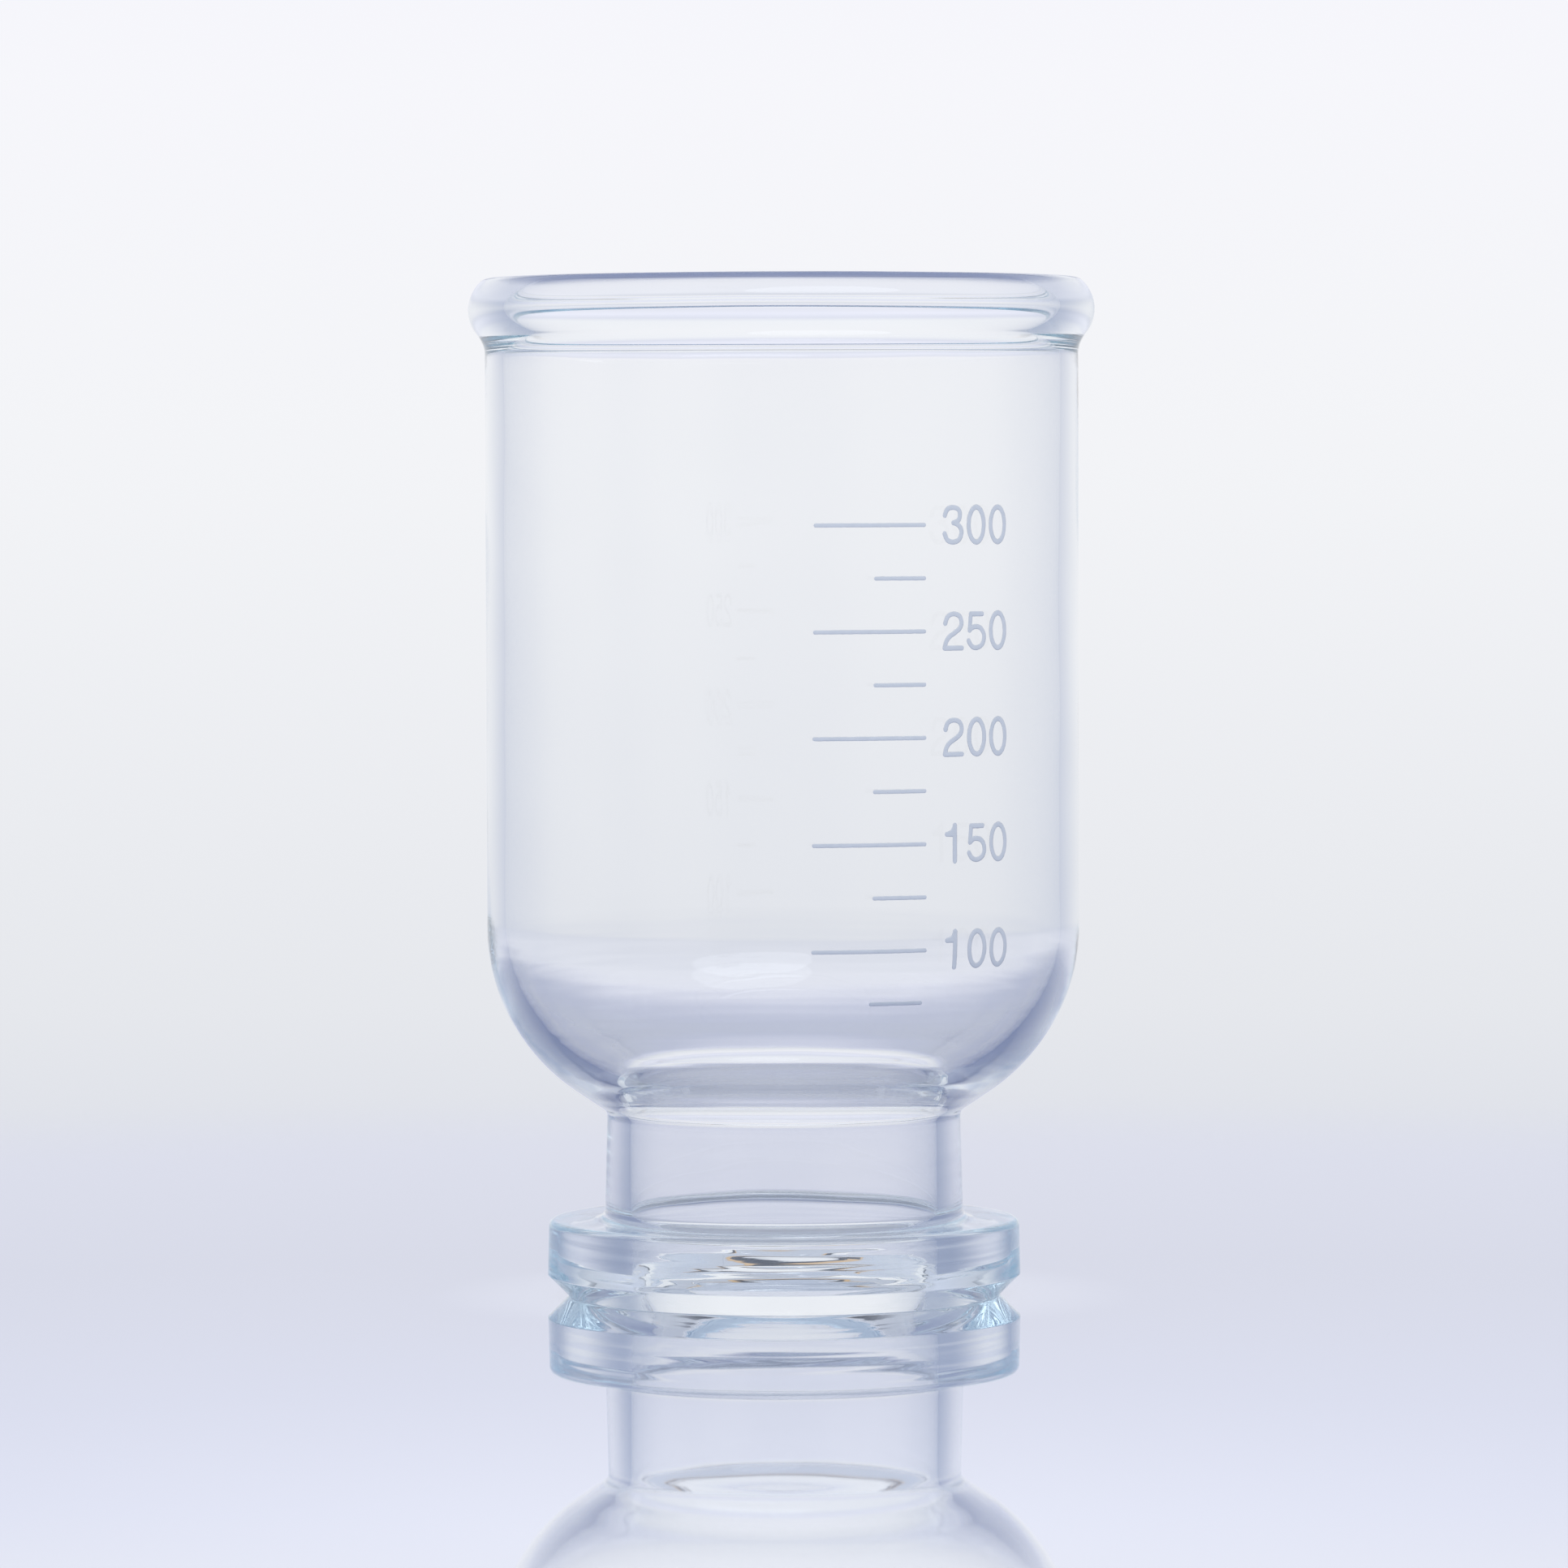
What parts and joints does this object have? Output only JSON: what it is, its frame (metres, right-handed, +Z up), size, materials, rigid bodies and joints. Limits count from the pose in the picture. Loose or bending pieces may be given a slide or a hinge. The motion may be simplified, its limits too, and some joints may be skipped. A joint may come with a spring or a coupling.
{
  "type": "graduated glass filter funnel",
  "caption": "Clear glass cup of a membrane filtration set, with a beaded rim, printed volume scale, rounded bowl, short neck and thick flange with a flat ground face.",
  "frame": {"origin": "centre of the flange's flat ground face, on the funnel's axis", "axes": "+Z up along the funnel's axis towards the mouth; -Y is the front, where the printed scale is just to the right of the middle; +X is to the right"},
  "size_m": [0.0792, 0.0792, 0.1288],
  "materials": {
    "borosilicate_glass": "clear and fire-polished; the ground sealing face and bevel are polished clear",
    "scale_enamel": "printed and fired grey-blue enamel, satin"
  },
  "bodies": {
    "root": {"funnel_glass": "borosilicate_glass"}
  },
  "joints": []
}
